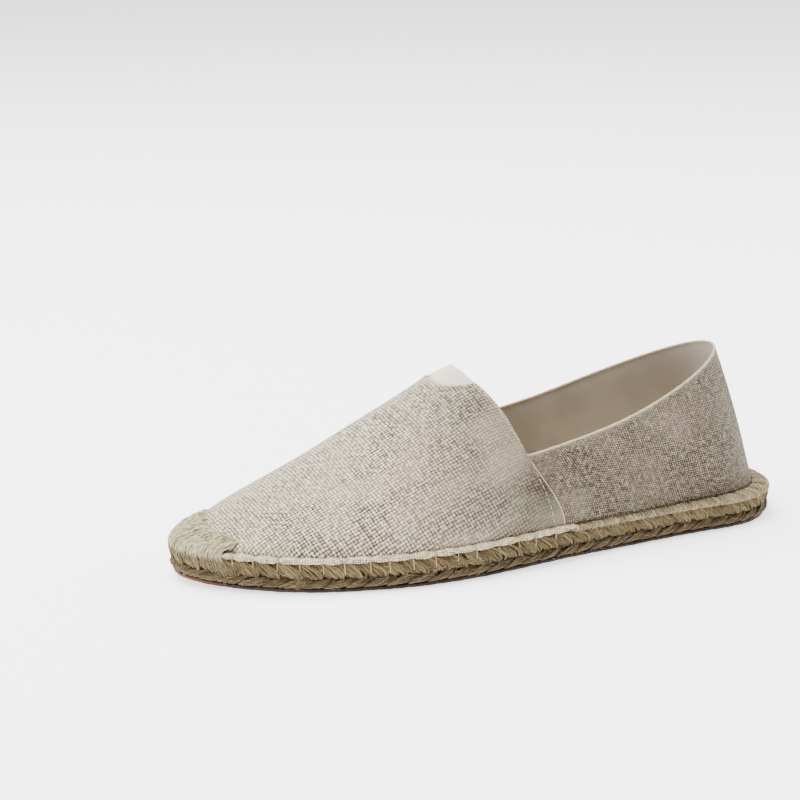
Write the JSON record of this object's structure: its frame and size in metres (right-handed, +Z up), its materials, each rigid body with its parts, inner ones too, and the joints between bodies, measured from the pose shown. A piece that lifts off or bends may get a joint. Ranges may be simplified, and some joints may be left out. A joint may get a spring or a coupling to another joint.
{
  "type": "espadrille",
  "caption": "Left slip-on espadrille: flat braided jute sole with a thin rubber sheet, soft linen upper with a vamp seam, elastic at the throat and a thread-wrapped toe.",
  "frame": {"origin": "on the floor under the middle of the shoe's bounding box", "axes": "+Y towards the toe, +Z up, +X towards the medial side of the left foot"},
  "size_m": [0.0996, 0.2838, 0.0799],
  "materials": {
    "outsole": "dull brown rubber",
    "jute_sole": "braided jute",
    "insole": "cotton cloth",
    "upper": "slubbed plain-weave linen",
    "throat_gusset": "smooth elastic",
    "toe_cap": "laid jute thread"
  },
  "bodies": {
    "root": {"outsole": "outsole", "jute_sole": "jute_sole", "insole": "insole", "upper": "upper", "throat_gusset": "throat_gusset", "toe_cap": "toe_cap"}
  },
  "joints": []
}
